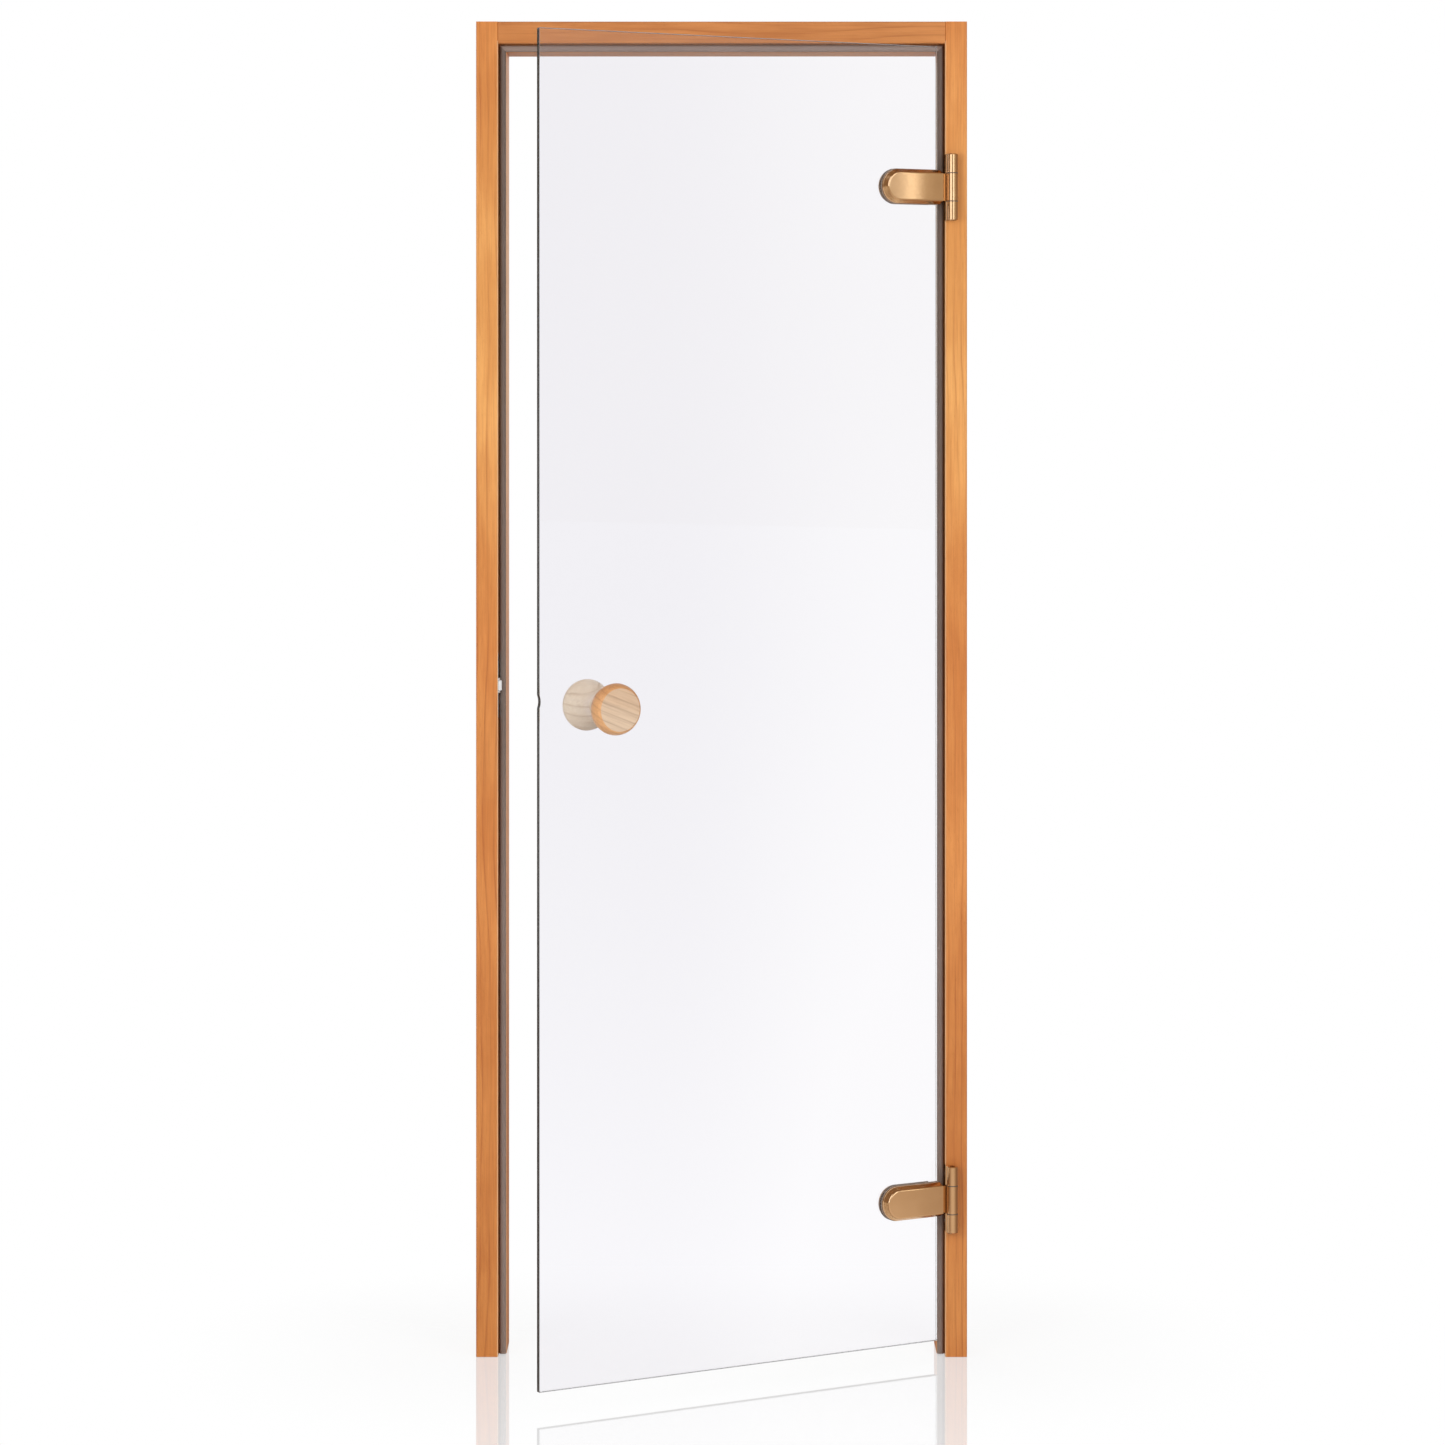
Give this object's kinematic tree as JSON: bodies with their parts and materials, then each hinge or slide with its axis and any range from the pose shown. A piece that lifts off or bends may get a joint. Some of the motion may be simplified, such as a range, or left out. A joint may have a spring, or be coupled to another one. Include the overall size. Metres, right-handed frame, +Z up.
{
  "type": "sauna door",
  "caption": "Clear glass sauna door on two barrel hinges in a rebated alder frame without a threshold, ajar, with turned wooden knobs, a roller latch and a silicone seal.",
  "frame": {"origin": "floor level on the wall side of the hinge jamb, half way through the frame's depth", "axes": "+X towards the hinge side, +Y into the sauna room, away from the side the door opens to, +Z up"},
  "size_m": [0.695, 0.4055, 1.89],
  "materials": {
    "alder": "oiled alder",
    "knob_wood": "turned and oiled",
    "glass": "clear, ground edges",
    "bronze": "satin bronze",
    "seal": "silicone",
    "pad_rubber": "matt",
    "washer_plastic": "matt",
    "nylon": "white nylon",
    "latch_steel": "satin",
    "screw_steel": "satin"
  },
  "bodies": {
    "frame": {"hinge_jamb": "alder", "latch_jamb": "alder", "head_rail": "alder", "hinge_jamb_seal": "seal", "latch_jamb_seal": "seal", "head_seal": "seal", "latch_plate": "latch_steel", "latch_plate_screws": "screw_steel", "upper_hinge_leaf": "bronze", "upper_hinge_leaf_screws": "screw_steel", "upper_hinge_pin": "screw_steel", "upper_hinge_washers": "washer_plastic", "lower_hinge_leaf": "bronze", "lower_hinge_leaf_screws": "screw_steel", "lower_hinge_pin": "screw_steel", "lower_hinge_washers": "washer_plastic"},
    "door": {"glass_pane": "glass", "outer_knob": "knob_wood", "inner_knob": "knob_wood", "knob_bolt": "screw_steel", "knob_washers": "pad_rubber", "upper_hinge_arm": "bronze", "upper_hinge_cover": "bronze", "upper_hinge_outer_pad": "pad_rubber", "upper_hinge_inner_pad": "pad_rubber", "upper_hinge_back_plate": "bronze", "upper_hinge_clamp_screws": "screw_steel", "lower_hinge_arm": "bronze", "lower_hinge_cover": "bronze", "lower_hinge_outer_pad": "pad_rubber", "lower_hinge_inner_pad": "pad_rubber", "lower_hinge_back_plate": "bronze", "lower_hinge_clamp_screws": "screw_steel"},
    "latch_slide": {"latch_slider": "latch_steel", "latch_roller": "nylon", "latch_roller_pin": "latch_steel"}
  },
  "joints": [
    {"name": "door_swing", "type": "hinge", "parent": "frame", "child": "door", "pos_m": [-0.0215, -0.057, 0.9365], "axis": [0, 0, 1], "range_deg": [-28, 142]},
    {"name": "roller_press", "type": "slide", "parent": "frame", "child": "latch_slide", "axis": [-1, 0, 0], "range_m": [0, 0.004], "stiffness_N_per_m": 1200, "springref_m": -0.003}
  ]
}
